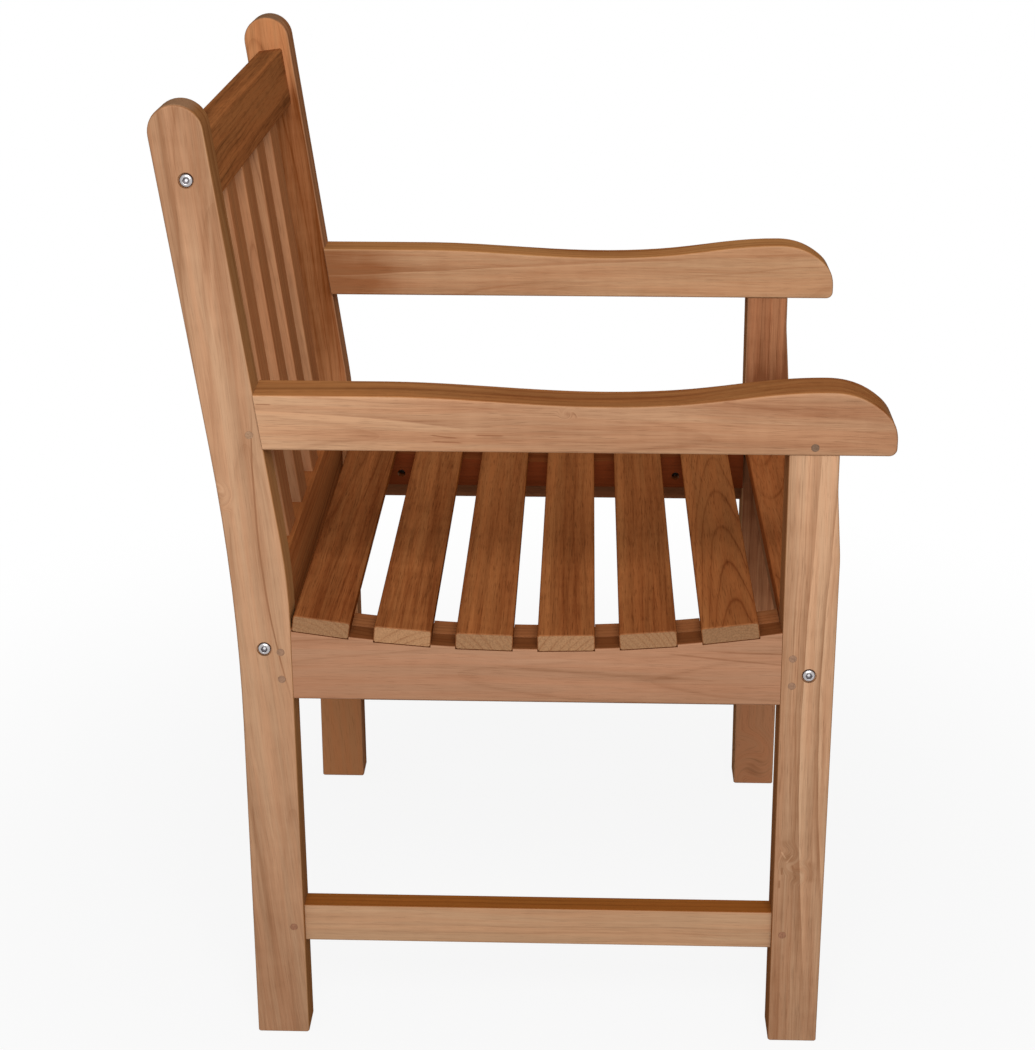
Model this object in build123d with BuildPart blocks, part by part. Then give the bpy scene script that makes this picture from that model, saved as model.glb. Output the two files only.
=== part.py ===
from build123d import *
from math import asin, atan2, cos, radians, sin, sqrt, tan
import os

# Garden armchair in solid teak: two pinned side frames, a slatted back and a dished
# slatted seat, bolted together. Millimetres. The sitter faces -Y, +X is the sitter's
# left and +Z is up. The origin is on the floor under the middle of the chair.

# Overall sizes
overall_depth = 639.0
overall_height = 900.0
frame_width = 576.0

# Rear leg and back post, cut from one board
rear_leg_depth = 49.5
rear_leg_thickness = 37.0
rear_leg_lean = 0.32
post_depth = 47.4
post_rake = 7.83
knee_height = 453.0
knee_front_radius = 600.0
knee_back_radius = 2000.0

# Front leg
clear_depth = 445.7
front_leg_thickness = 42.0
front_leg_lean = 0.57
front_foot_depth = 46.4
front_shoulder_depth = 48.6
front_neck_depth = 44.2
front_shoulder_height = 502.0
front_neck_height = 566.0
front_shoulder_radius = 180.0

# Arm
arm_width = 44.0
arm_overhang = 2.0
arm_underside = 599.0
arm_rear_height = 50.4
arm_fall = 1.2
arm_flat_length = 108.0
arm_dip_height = 43.0
arm_dip_reach = 285.0
arm_rise_height = 46.8
arm_rise_reach = 388.0
arm_crest_height = 57.6
arm_crest_from_nose = 60.0
arm_cheek_height = 43.0
arm_cheek_from_nose = 16.0
arm_nose_height = 13.0
arm_nose_corner = 7.0

# Side rail, seat batten and side stretcher
rail_recess = 1.0
rail_thickness = 28.0
rail_bottom = 357.8
batten_thickness = 28.0
batten_bottom = 382.0
stretcher_recess = 8.0
stretcher_thickness = 24.0
stretcher_bottom = 98.5
stretcher_height = 38.5

# Seat
seat_low = 408.3
seat_dish_radius = 1390.0
seat_slat_count = 6
seat_slat_width = 52.0
seat_slat_thickness = 16.0
seat_slat_housing = 2.5
seat_back_gap = 0.5
seat_front_gap = 19.7
front_rail_top = 425.0
front_rail_thickness = 25.0
front_rail_setback = 25.5

# Back
top_rail_setback = 9.0
top_rail_thickness = 26.0
top_rail_height = 59.5
top_rail_drop = 63.5
lower_rail_setback = 14.0
lower_rail_thickness = 26.0
lower_rail_height = 90.0
lower_rail_top = 470.0
back_slat_count = 4
back_slat_width = 46.0
back_slat_pitch = 92.4
back_slat_thickness = 13.0
back_slat_inset = 4.5
back_slat_housing = 12.0

# Mortise-and-tenon joints and their wooden pins
tenon_length = 18.0
tenon_thickness = 12.0
tenon_shoulder = 9.0
tenon_root = 6.0
rail_tenon_inset = 8.0
arm_tenon_length = 20.0
leg_tenon_width = 26.0
leg_tenon_height = 25.0
pin_diameter = 7.0
pin_length = 26.0
pin_from_shoulder = 10.0
rail_pin_spacing = 27.0
rail_pin_height = 33.6
arm_pin_rise = 7.6
arm_post_pin_rise = 13.4

# Frame bolts, barrel nuts and locating dowels
bolt_diameter = 6.0
bolt_length = 80.0
bolt_head_diameter = 12.6
bolt_head_height = 3.0
bolt_head_recess = 2.4
bolt_socket = 5.6
bolt_socket_depth = 2.0
front_bolt_height = 388.2
lower_bolt_height = 407.8
nut_diameter = 10.0
nut_length = 15.0
nut_from_joint = 30.0
dowel_diameter = 8.0
dowel_length = 26.0
dowel_from_bolt = 20.0
lower_dowel_from_bolt = 36.0

# Wood screws
screw_diameter = 4.2
screw_length = 32.0
screw_head_diameter = 8.0
screw_head_height = 3.0
slat_screw_bite = 10.0
batten_screw_length = 33.0
batten_screw_bite = 21.0
batten_screw_offset = 31.0
batten_screw_height = 395.5
front_screw_spacing = 150.0
front_screw_count = 3

# Clearances and eased edges
glue_gap = 0.15
hole_gap = 0.1
bolt_hole_gap = 0.3
bolt_head_gap = 0.6
end_gap = 0.5
edge_round = 2.5
rail_round = 2.0
slat_round = 2.5
slat_end_chamfer = 0.8
foot_chamfer = 1.0

# Planes across the chair, as distances from its middle
outer_x = frame_width / 2
post_inner_x = outer_x - rear_leg_thickness
front_inner_x = outer_x - front_leg_thickness
arm_outer_x = outer_x + arm_overhang
rail_outer_x = outer_x - rail_recess
rail_inner_x = rail_outer_x - rail_thickness
rail_tenon_x = rail_outer_x - rail_tenon_inset - tenon_thickness / 2
batten_inner_x = rail_inner_x - batten_thickness
batten_middle_x = rail_inner_x - batten_thickness / 2
stretcher_outer_x = outer_x - stretcher_recess
stretcher_middle_x = stretcher_outer_x - stretcher_thickness / 2
post_middle_x = outer_x - rear_leg_thickness / 2
front_middle_x = outer_x - front_leg_thickness / 2

# Side profile, as (y, z) points and lines
rake = radians(post_rake)
crown_radius = post_depth / 2
crown_z = overall_height - crown_radius
top_rail_centre = overall_height - top_rail_drop
crown_reach = (crown_z - knee_height) * tan(rake) + crown_radius / cos(rake) + crown_radius
leg_front_y = overall_depth / 2 - crown_reach
leg_back_y = leg_front_y + rear_leg_depth
nose_y = -overall_depth / 2


def post_y(z, setback=0.0):
    """Depth of the raked plane that lies this far behind the post's front face."""
    return leg_front_y + (z - knee_height) * tan(rake) + setback / cos(rake)


def rear_leg_y(z):
    """Depth of the rear leg's front face below the knee, which leans a little."""
    return leg_front_y + z * tan(radians(rear_leg_lean))


def front_leg_y(z):
    """Depth of the front leg's back face, which leans a little."""
    return leg_front_y - clear_depth + z * tan(radians(front_leg_lean))


# Seat curve: slats lie as chords of one large arc, let into rails dished to a smaller arc
dish_z = seat_low + seat_dish_radius
rail_dish_radius = seat_dish_radius - seat_slat_housing


def dish_height(y):
    """Height of the side rail's dished top edge at a depth."""
    return dish_z - sqrt(rail_dish_radius**2 - y**2)


chord_angle = asin(seat_slat_width / 2 / seat_dish_radius)
chord_distance = sqrt(seat_dish_radius**2 - (seat_slat_width / 2) ** 2)
seat_back_y = rear_leg_y(front_rail_top)
front_slat_back_y = front_leg_y(front_rail_top)
first_slat_angle = asin((seat_back_y - seat_back_gap) / seat_dish_radius) - chord_angle
last_slat_angle = asin((front_slat_back_y + seat_front_gap) / seat_dish_radius) + chord_angle
slat_angle_step = (last_slat_angle - first_slat_angle) / (seat_slat_count - 1)
slat_angles = [first_slat_angle + slat_angle_step * i for i in range(seat_slat_count)]
slat_feet = [(chord_distance * sin(a), dish_z - chord_distance * cos(a)) for a in slat_angles]

# Places of the fixings in the side profile
top_rail_y = post_y(top_rail_centre, top_rail_setback + top_rail_thickness / 2)
lower_rail_y = leg_front_y + lower_rail_setback + lower_rail_thickness / 2
front_rail_y = front_slat_back_y - front_rail_setback
rear_bolts = [(top_rail_y, top_rail_centre), (lower_rail_y, lower_bolt_height)]
front_bolts = [(front_rail_y, front_bolt_height)]
top_dowels = [
    (top_rail_y + side * dowel_from_bolt * sin(rake), top_rail_centre + side * dowel_from_bolt * cos(rake))
    for side in (-1, 1)
]
lower_dowels = [(lower_rail_y, lower_bolt_height + lower_dowel_from_bolt)]
front_dowels = [(front_rail_y, front_bolt_height + side * dowel_from_bolt) for side in (-1, 1)]

rail_pin_heights = [rail_bottom + rail_pin_height + side * rail_pin_spacing / 2 for side in (-1, 1)]
rail_rear_pins = [(rear_leg_y(z) + pin_from_shoulder, z) for z in rail_pin_heights]
rail_front_pins = [(front_leg_y(z) - pin_from_shoulder, z) for z in rail_pin_heights]
stretcher_middle_z = stretcher_bottom + stretcher_height / 2
stretcher_rear_pin = (rear_leg_y(stretcher_middle_z) + pin_from_shoulder, stretcher_middle_z)
stretcher_front_pin = (front_leg_y(stretcher_middle_z) - pin_from_shoulder, stretcher_middle_z)
arm_post_pin_z = arm_underside + arm_post_pin_rise
arm_post_pin = (post_y(arm_post_pin_z) + pin_from_shoulder, arm_post_pin_z)
arm_leg_middle_y = front_leg_y(arm_underside) - front_neck_depth / 2
arm_leg_pin = (arm_leg_middle_y, arm_underside + arm_pin_rise)
batten_screws_yz = [
    (slat_feet[0][0] - batten_screw_offset, batten_screw_height),
    (slat_feet[-1][0] + batten_screw_offset, batten_screw_height),
]


def span(middle, size):
    """Low and high end of a size about its middle."""
    return middle - size / 2, middle + size / 2


# Tenons as (x, y, z) spans on the sitter's right: the mortise is the same block with the glue gap
rail_end_top = min(dish_height(rear_leg_y(seat_low)), dish_height(front_leg_y(seat_low)))
rail_tenon_z = (rail_bottom + tenon_shoulder, rail_end_top - tenon_shoulder)
rail_rear_tenon = (
    span(-rail_tenon_x, tenon_thickness),
    (rear_leg_y(rail_tenon_z[0]) - tenon_root, rear_leg_y(rail_tenon_z[1]) + tenon_length),
    rail_tenon_z,
)
rail_front_tenon = (
    span(-rail_tenon_x, tenon_thickness),
    (front_leg_y(rail_tenon_z[0]) - tenon_length, front_leg_y(rail_tenon_z[1]) + tenon_root),
    rail_tenon_z,
)
stretcher_tenon_z = span(stretcher_middle_z, stretcher_height - tenon_shoulder)
stretcher_rear_tenon = (
    span(-stretcher_middle_x, tenon_thickness),
    (rear_leg_y(stretcher_tenon_z[0]) - tenon_root, rear_leg_y(stretcher_tenon_z[1]) + tenon_length),
    stretcher_tenon_z,
)
stretcher_front_tenon = (
    span(-stretcher_middle_x, tenon_thickness),
    (front_leg_y(stretcher_tenon_z[0]) - tenon_length, front_leg_y(stretcher_tenon_z[1]) + tenon_root),
    stretcher_tenon_z,
)
arm_tenon_z = (arm_underside + tenon_shoulder, arm_underside + arm_rear_height - tenon_shoulder)
arm_tenon = (
    span(-post_middle_x, tenon_thickness),
    (post_y(arm_tenon_z[0]) - tenon_root, post_y(arm_tenon_z[1]) + arm_tenon_length),
    arm_tenon_z,
)
leg_tenon = (
    span(-front_middle_x, tenon_thickness),
    span(arm_leg_middle_y, leg_tenon_width),
    (arm_underside - tenon_root, arm_underside + leg_tenon_height),
)

os.makedirs("parts", exist_ok=True)


def block(x, y, z, grow=0.0, mode=Mode.ADD):
    """Box between three spans, grown on every side for a mortise."""
    with Locations((sum(x) / 2, sum(y) / 2, sum(z) / 2)):
        Box(x[1] - x[0] + 2 * grow, y[1] - y[0] + 2 * grow, z[1] - z[0] + 2 * grow, mode=mode)


def mortise(tenon):
    """Mortise for a tenon."""
    block(*tenon, grow=glue_gap, mode=Mode.SUBTRACT)


def facing_right(x, points):
    """Planes at depth and height points that look to the sitter's right."""
    return [Plane(origin=(-x, y, z), x_dir=(0, 1, 0), z_dir=(-1, 0, 0)) for y, z in points]


def facing_left(x, points):
    """Planes at depth and height points that look to the sitter's left."""
    return [Plane(origin=(-x, y, z), x_dir=(0, -1, 0), z_dir=(1, 0, 0)) for y, z in points]


def facing_down(x, y, z):
    """Plane that looks down from a point."""
    return Plane(origin=(x, y, z), z_dir=(0, 0, -1))


def pin_holes(x, points):
    """Blind holes for wooden pins, drilled from the outer face."""
    with Locations(*facing_right(x, points)):
        Hole(radius=pin_diameter / 2 + hole_gap, depth=pin_length)


def dowel_holes(planes):
    """Blind holes for half of each locating dowel."""
    with Locations(*planes):
        Hole(radius=dowel_diameter / 2 + hole_gap, depth=dowel_length / 2 + end_gap)


def bolt_holes(x, points):
    """Recessed through holes for the frame bolts, drilled from the outer face."""
    with Locations(*facing_right(x, points)):
        CounterBoreHole(
            radius=bolt_diameter / 2 + bolt_hole_gap,
            counter_bore_radius=bolt_head_diameter / 2 + bolt_head_gap,
            counter_bore_depth=bolt_head_recess,
        )


def save(piece, name):
    """Label a finished piece and write it under its name."""
    piece.label = name
    export_step(piece, f"parts/{name}.step")


def save_pair(right, name):
    """Write a piece of the sitter's right side and its mirror image."""
    save(right, f"{name}_right")
    with BuildPart() as left:
        mirror(right, about=Plane.YZ)
    save(left.part, f"{name}_left")


# Rear legs: almost upright below the seat, raked above it, with a half-round crown
knee_front_z = knee_height * tan(rake) / (tan(rake) - tan(radians(rear_leg_lean)))
knee_front = (rear_leg_y(knee_front_z), knee_front_z)
knee_back_rise = (rear_leg_depth - post_depth * cos(rake)) / tan(rake) - post_depth * sin(rake)
knee_back = (leg_back_y, knee_height + knee_back_rise)
crown = Vector(post_y(crown_z, crown_radius), crown_z)
crown_back = crown + Vector(cos(rake), -sin(rake)) * crown_radius
crown_front = crown - Vector(cos(rake), -sin(rake)) * crown_radius
crown_top = crown + Vector(sin(rake), cos(rake)) * crown_radius

with BuildPart() as rear_leg:
    with BuildSketch(Plane.YZ.offset(-outer_x)) as profile:
        with BuildLine():
            Polyline((leg_front_y, 0), knee_front, crown_front)
            ThreePointArc(crown_front, crown_top, crown_back)
            Polyline(crown_back, knee_back, (leg_back_y, 0), (leg_front_y, 0))
        make_face()
        fillet(profile.vertices().sort_by_distance(knee_front)[0], knee_front_radius)
        fillet(profile.vertices().sort_by_distance(knee_back)[0], knee_back_radius)
    extrude(amount=rear_leg_thickness)
    side_edges = rear_leg.faces().filter_by(Axis.X).edges()
    fillet(side_edges.filter_by_position(Axis.Z, foot_chamfer, overall_height), edge_round)
    chamfer(rear_leg.faces().sort_by(Axis.Z)[0].edges(), foot_chamfer)
    mortise(rail_rear_tenon)
    mortise(stretcher_rear_tenon)
    mortise(arm_tenon)
    pin_holes(outer_x, rail_rear_pins + [stretcher_rear_pin, arm_post_pin])
    bolt_holes(outer_x, rear_bolts)
    dowel_holes(facing_left(post_inner_x, top_dowels + lower_dowels))
save_pair(rear_leg.part, "rear_leg")

# Front legs: leaning a little, drawn in on the front edge below the arm
shoulder_front = (front_leg_y(front_shoulder_height) - front_shoulder_depth, front_shoulder_height)
neck_front = (front_leg_y(front_neck_height) - front_neck_depth, front_neck_height)

with BuildPart() as front_leg:
    with BuildSketch(Plane.YZ.offset(-outer_x)) as profile:
        with BuildLine():
            Polyline(
                (front_leg_y(0), 0),
                (front_leg_y(arm_underside), arm_underside),
                (front_leg_y(arm_underside) - front_neck_depth, arm_underside),
                neck_front,
                shoulder_front,
                (front_leg_y(0) - front_foot_depth, 0),
                close=True,
            )
        make_face()
        fillet(profile.vertices().sort_by_distance(neck_front)[0], front_shoulder_radius)
        fillet(profile.vertices().sort_by_distance(shoulder_front)[0], front_shoulder_radius)
    extrude(amount=front_leg_thickness)
    side_edges = front_leg.faces().filter_by(Axis.X).edges()
    fillet(side_edges.filter_by_position(Axis.Z, foot_chamfer, arm_underside - edge_round), edge_round)
    chamfer(front_leg.faces().sort_by(Axis.Z)[0].edges(), foot_chamfer)
    block(*leg_tenon)
    mortise(rail_front_tenon)
    mortise(stretcher_front_tenon)
    pin_holes(outer_x, rail_front_pins + [stretcher_front_pin])
    pin_holes(arm_outer_x, [arm_leg_pin])
    bolt_holes(outer_x, front_bolts)
    dowel_holes(facing_left(front_inner_x, front_dowels))
save_pair(front_leg.part, "front_leg")

# Arms: flat at the post, dipped, then rising over the front leg to a rounded nose
arm_corner = (nose_y, arm_underside)


def arm_outline(lift):
    """Side outline of the arm, with its top edge lifted."""
    top = arm_underside + lift
    rear_y = post_y(top + arm_rear_height)
    foot = (post_y(arm_underside), arm_underside)
    flat_end = (rear_y - arm_flat_length, top + arm_rear_height)
    dip = (rear_y - arm_dip_reach, top + arm_dip_height)
    rise = (rear_y - arm_rise_reach, top + arm_rise_height)
    crest = (nose_y + arm_crest_from_nose, top + arm_crest_height)
    cheek = (nose_y + arm_cheek_from_nose, top + arm_cheek_height)
    nose = (nose_y, arm_underside + arm_nose_height)
    Polyline(foot, (rear_y, top + arm_rear_height), flat_end)
    Spline(flat_end, dip, rise, crest, tangents=[(-1, 0), (-1, 0)])
    Spline(crest, cheek, nose, tangents=[(-1, 0), (0, -1)])
    Polyline(nose, arm_corner, foot)


with BuildPart() as arm:
    for x, lift in ((-arm_outer_x, 0), (arm_width - arm_outer_x, arm_fall)):
        with BuildSketch(Plane.YZ.offset(x)) as profile:
            with BuildLine():
                arm_outline(lift)
            make_face()
            fillet(profile.vertices().sort_by_distance(arm_corner)[0], arm_nose_corner)
    loft(ruled=True)
    side_edges = arm.faces().filter_by(Axis.X).edges()
    fillet(side_edges.filter_by_position(Axis.Y, nose_y, post_y(arm_underside) - edge_round), edge_round)
    block(*arm_tenon)
    mortise(leg_tenon)
    pin_holes(arm_outer_x, [arm_leg_pin])
    pin_holes(outer_x, [arm_post_pin])
save_pair(arm.part, "arm")


def dished_outline(bottom, gap):
    """Side outline of a board between the legs, before the seat curve is cut from its top."""
    top = front_rail_top + seat_slat_thickness
    Polyline(
        (rear_leg_y(bottom) - gap, bottom),
        (rear_leg_y(top) - gap, top),
        (front_leg_y(top) + gap, top),
        (front_leg_y(bottom) + gap, bottom),
        close=True,
    )


def seat_slat_solid(angle, y, z, grow=0.0, mode=Mode.ADD):
    """Straight seat slat on its tipped underside, grown for its housings."""
    underside = Plane(origin=(0, y, z), x_dir=(1, 0, 0), z_dir=(0, -sin(angle), cos(angle)))
    with Locations(underside.offset(-grow)):
        Box(
            2 * (rail_outer_x + grow),
            seat_slat_width + 2 * grow,
            seat_slat_thickness + 2 * grow,
            align=(Align.CENTER, Align.CENTER, Align.MIN),
            mode=mode,
        )


def slat_housings():
    """Shallow housings for the seat slats in a dished top edge."""
    for angle, (y, z) in zip(slat_angles, slat_feet):
        seat_slat_solid(angle, y, z, glue_gap, Mode.SUBTRACT)


# Side rails: dished along the top, tenoned into both legs
with BuildPart() as side_rail:
    with BuildSketch(Plane.YZ.offset(-rail_outer_x)):
        with BuildLine():
            dished_outline(rail_bottom, 0)
        make_face()
        with Locations((0, dish_z)):
            Circle(rail_dish_radius, mode=Mode.SUBTRACT)
    extrude(amount=rail_thickness)
    side_edges = side_rail.faces().filter_by(Axis.X).edges()
    bottom_edges = side_edges.filter_by_position(Axis.Z, 0, rail_bottom, inclusive=(True, True))
    fillet(bottom_edges + side_edges.filter_by(GeomType.CIRCLE), rail_round)
    slat_housings()
    block(*rail_rear_tenon)
    block(*rail_front_tenon)
    pin_holes(outer_x, rail_rear_pins + rail_front_pins)
    with Locations(*facing_left(rail_inner_x, batten_screws_yz)):
        Hole(radius=screw_diameter / 2 + hole_gap, depth=batten_screw_bite + end_gap)
save_pair(side_rail.part, "side_rail")

# Seat battens: screwed to the inside of the side rails, with screws going up into the slats
screw_grip = screw_length - slat_screw_bite
batten_screw_seat = batten_thickness + batten_screw_bite - batten_screw_length

with BuildPart() as seat_batten:
    with BuildSketch(Plane.YZ.offset(-rail_inner_x)):
        with BuildLine():
            dished_outline(batten_bottom, end_gap)
        make_face()
        with Locations((0, dish_z)):
            Circle(rail_dish_radius, mode=Mode.SUBTRACT)
    extrude(amount=batten_thickness)
    slat_housings()
    with Locations(*facing_left(batten_inner_x, batten_screws_yz)):
        CounterBoreHole(
            radius=screw_diameter / 2 + hole_gap,
            counter_bore_radius=screw_head_diameter / 2 + bolt_hole_gap,
            counter_bore_depth=batten_screw_seat,
        )
    for y, z in slat_feet:
        with Locations(facing_down(-batten_middle_x, y, batten_bottom)):
            CounterBoreHole(
                radius=screw_diameter / 2 + hole_gap,
                counter_bore_radius=screw_head_diameter / 2 + bolt_hole_gap,
                counter_bore_depth=z - screw_grip - batten_bottom,
            )
save_pair(seat_batten.part, "seat_batten")

# Side stretchers: low rails tenoned between front and rear legs
stretcher_top = stretcher_bottom + stretcher_height

with BuildPart() as side_stretcher:
    with BuildSketch(Plane.YZ.offset(-stretcher_outer_x)):
        with BuildLine():
            Polyline(
                (rear_leg_y(stretcher_bottom), stretcher_bottom),
                (rear_leg_y(stretcher_top), stretcher_top),
                (front_leg_y(stretcher_top), stretcher_top),
                (front_leg_y(stretcher_bottom), stretcher_bottom),
                close=True,
            )
        make_face()
    extrude(amount=stretcher_thickness)
    fillet(side_stretcher.edges().filter_by(Axis.Y), rail_round)
    block(*stretcher_rear_tenon)
    block(*stretcher_front_tenon)
    pin_holes(outer_x, [stretcher_rear_pin, stretcher_front_pin])
save_pair(side_stretcher.part, "side_stretcher")

# Back: slats housed at both ends in a raked top rail and an upright lower rail
back_foot = Vector(leg_front_y + lower_rail_setback + back_slat_inset, lower_rail_top)
back_head_z = top_rail_centre - top_rail_height / 2 * cos(rake)
back_head = Vector(post_y(back_head_z, top_rail_setback + back_slat_inset), back_head_z)
back_line = back_head - back_foot
back_slope = atan2(back_line.X, back_line.Y)
back_slat_length = back_line.length + 2 * back_slat_housing
back_middle = (back_foot + back_head) / 2
back_slat_xs = [back_slat_pitch * (i - (back_slat_count - 1) / 2) for i in range(back_slat_count)]


def raked_plane(x, y, z, slope):
    """Plane across the chair that looks forward, tipped back by the slope."""
    return Plane(origin=(x, y, z), x_dir=(1, 0, 0), z_dir=(0, -cos(slope), sin(slope)))


def back_slat_solid(x, grow=0.0, mode=Mode.ADD):
    """Straight back slat about its front face's middle, grown for its housings."""
    front = raked_plane(x, back_middle.X, back_middle.Y, back_slope)
    with Locations(front.offset(grow)):
        Box(
            back_slat_width + 2 * grow,
            back_slat_length + 2 * grow,
            back_slat_thickness + 2 * grow,
            align=(Align.CENTER, Align.CENTER, Align.MAX),
            mode=mode,
        )


def bolted_end(points, dowels, end_x):
    """Bolt and dowel holes in the right-hand end of a rail."""
    with Locations(*facing_right(end_x, points)):
        Hole(radius=bolt_diameter / 2 + bolt_hole_gap, depth=bolt_length)
    dowel_holes(facing_right(end_x, dowels))


def nut_hole(end_x, y, z, slope, thickness):
    """Blind cross hole for a barrel nut, drilled from the back of a rail."""
    middle = raked_plane(nut_from_joint - end_x, y, z, slope)
    depth = (thickness + nut_length) / 2 + hole_gap
    with Locations(middle.offset(nut_length / 2 + hole_gap - depth)):
        Cylinder(
            nut_diameter / 2 + hole_gap,
            depth,
            align=(Align.CENTER, Align.CENTER, Align.MIN),
            mode=Mode.SUBTRACT,
        )


with BuildPart() as top_back_rail:
    with BuildSketch(raked_plane(0, top_rail_y, top_rail_centre, rake)):
        Rectangle(2 * post_inner_x, top_rail_height)
    extrude(amount=top_rail_thickness / 2, both=True)
    fillet(top_back_rail.edges().filter_by(Axis.X), edge_round)
    bolted_end([rear_bolts[0]], top_dowels, post_inner_x)
    nut_hole(post_inner_x, *rear_bolts[0], rake, top_rail_thickness)
    mirror(about=Plane.YZ, mode=Mode.INTERSECT)
    for x in back_slat_xs:
        back_slat_solid(x, glue_gap, Mode.SUBTRACT)
save(top_back_rail.part, "top_back_rail")

with BuildPart() as lower_back_rail:
    with Locations((0, lower_rail_y, lower_rail_top)):
        Box(
            2 * post_inner_x,
            lower_rail_thickness,
            lower_rail_height,
            align=(Align.CENTER, Align.CENTER, Align.MAX),
        )
    fillet(lower_back_rail.edges().filter_by(Axis.X), rail_round)
    bolted_end([rear_bolts[1]], lower_dowels, post_inner_x)
    nut_hole(post_inner_x, *rear_bolts[1], 0, lower_rail_thickness)
    mirror(about=Plane.YZ, mode=Mode.INTERSECT)
    for x in back_slat_xs:
        back_slat_solid(x, glue_gap, Mode.SUBTRACT)
save(lower_back_rail.part, "lower_back_rail")

for number, x in enumerate(back_slat_xs, 1):
    with BuildPart() as back_slat:
        back_slat_solid(x)
        long_edges = back_slat.edges().filter_by(lambda edge: edge.length > back_slat_length - end_gap)
        fillet(long_edges, slat_round)
    save(back_slat.part, f"back_slat_{number}")

# Seat slats: straight boards let into the dished rails, ends flush with their outer faces
for number, (angle, (y, z)) in enumerate(zip(slat_angles, slat_feet), 1):
    with BuildPart() as seat_slat:
        seat_slat_solid(angle, y, z)
        fillet(seat_slat.edges().filter_by(Axis.X), slat_round)
        chamfer(seat_slat.faces().filter_by(Axis.X).edges(), slat_end_chamfer)
        with Locations((-batten_middle_x, y, z), (batten_middle_x, y, z)):
            Hole(radius=screw_diameter / 2 + hole_gap, depth=slat_screw_bite + end_gap)
    save(seat_slat.part, f"seat_slat_{number}")

# Front of the seat: a cross rail bolted between the front legs and the slat that lies on it
front_slat_width = front_shoulder_depth
front_screw_xs = [
    front_screw_spacing * (i - (front_screw_count - 1) / 2) for i in range(front_screw_count)
]

with BuildPart() as front_rail:
    with Locations((0, front_rail_y, rail_bottom)):
        Box(
            2 * front_inner_x,
            front_rail_thickness,
            front_rail_top - rail_bottom,
            align=(Align.CENTER, Align.CENTER, Align.MIN),
        )
    fillet(front_rail.edges().filter_by(Axis.X), rail_round)
    bolted_end(front_bolts, front_dowels, front_inner_x)
    nut_hole(front_inner_x, *front_bolts[0], 0, front_rail_thickness)
    mirror(about=Plane.YZ, mode=Mode.INTERSECT)
    for x in front_screw_xs:
        with Locations(facing_down(x, front_rail_y, rail_bottom)):
            CounterBoreHole(
                radius=screw_diameter / 2 + hole_gap,
                counter_bore_radius=screw_head_diameter / 2 + bolt_hole_gap,
                counter_bore_depth=front_rail_top - screw_grip - rail_bottom,
            )
save(front_rail.part, "front_rail")

with BuildPart() as front_seat_slat:
    with Locations((0, front_slat_back_y, front_rail_top)):
        Box(
            2 * (front_inner_x - end_gap),
            front_slat_width,
            seat_slat_thickness,
            align=(Align.CENTER, Align.MAX, Align.MIN),
        )
    fillet(front_seat_slat.edges().filter_by(Axis.X), slat_round)
    with Locations(*[(x, front_rail_y, front_rail_top) for x in front_screw_xs]):
        Hole(radius=screw_diameter / 2 + hole_gap, depth=slat_screw_bite + end_gap)
save(front_seat_slat.part, "front_seat_slat")

# Frame bolts: low round heads with a hex socket, three on each side
bolt_planes = facing_right(outer_x - bolt_head_recess, rear_bolts + front_bolts)

with BuildPart() as frame_bolts:
    with BuildSketch(*bolt_planes):
        Circle(bolt_diameter / 2)
    extrude(amount=-bolt_length)
    with BuildSketch(*bolt_planes):
        Circle(bolt_head_diameter / 2)
    extrude(amount=bolt_head_height)
    with BuildSketch(*[plane.offset(bolt_head_height) for plane in bolt_planes]):
        RegularPolygon(bolt_socket / 2, side_count=6, major_radius=False)
    extrude(amount=-bolt_socket_depth, mode=Mode.SUBTRACT)
    mirror(about=Plane.YZ)
save(frame_bolts.part, "frame_bolts")

# Barrel nuts: cross bars in the rails that the bolts screw into
nut_places = [
    raked_plane(nut_from_joint - post_inner_x, *rear_bolts[0], rake),
    raked_plane(nut_from_joint - post_inner_x, *rear_bolts[1], 0),
    raked_plane(nut_from_joint - front_inner_x, *front_bolts[0], 0),
]

with BuildPart() as barrel_nuts:
    with Locations(*nut_places):
        Cylinder(nut_diameter / 2, nut_length)
    with Locations(*facing_right(outer_x, rear_bolts + front_bolts)):
        Hole(radius=bolt_diameter / 2 + hole_gap)
    mirror(about=Plane.YZ)
save(barrel_nuts.part, "barrel_nuts")

# Locating dowels: half in the leg and half in the rail's end
dowel_places = facing_right(post_inner_x, top_dowels + lower_dowels)
dowel_places += facing_right(front_inner_x, front_dowels)

with BuildPart() as locating_dowels:
    with Locations(*dowel_places):
        Cylinder(dowel_diameter / 2, dowel_length)
    mirror(about=Plane.YZ)
save(locating_dowels.part, "locating_dowels")


def save_pins(x, points, name):
    """Write the wooden pins of like joints on both sides, flush with the outer face."""
    with BuildPart() as pins:
        with Locations(*facing_right(x, points)):
            Cylinder(pin_diameter / 2, pin_length, align=(Align.CENTER, Align.CENTER, Align.MAX))
        mirror(about=Plane.YZ)
    save(pins.part, name)


save_pins(outer_x, rail_rear_pins + rail_front_pins, "side_rail_pins")
save_pins(outer_x, [stretcher_rear_pin, stretcher_front_pin], "stretcher_pins")
save_pins(arm_outer_x, [arm_leg_pin], "arm_front_pins")
save_pins(outer_x, [arm_post_pin], "arm_rear_pins")


def save_screws(heads, length, name, both_sides):
    """Write like screws, each placed by the plane under its head that looks along its head."""
    with BuildPart() as screws:
        with Locations(*heads):
            Cylinder(screw_diameter / 2, length, align=(Align.CENTER, Align.CENTER, Align.MAX))
            Cylinder(
                screw_head_diameter / 2,
                screw_head_height,
                align=(Align.CENTER, Align.CENTER, Align.MIN),
            )
        if both_sides:
            mirror(about=Plane.YZ)
    save(screws.part, name)


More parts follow.
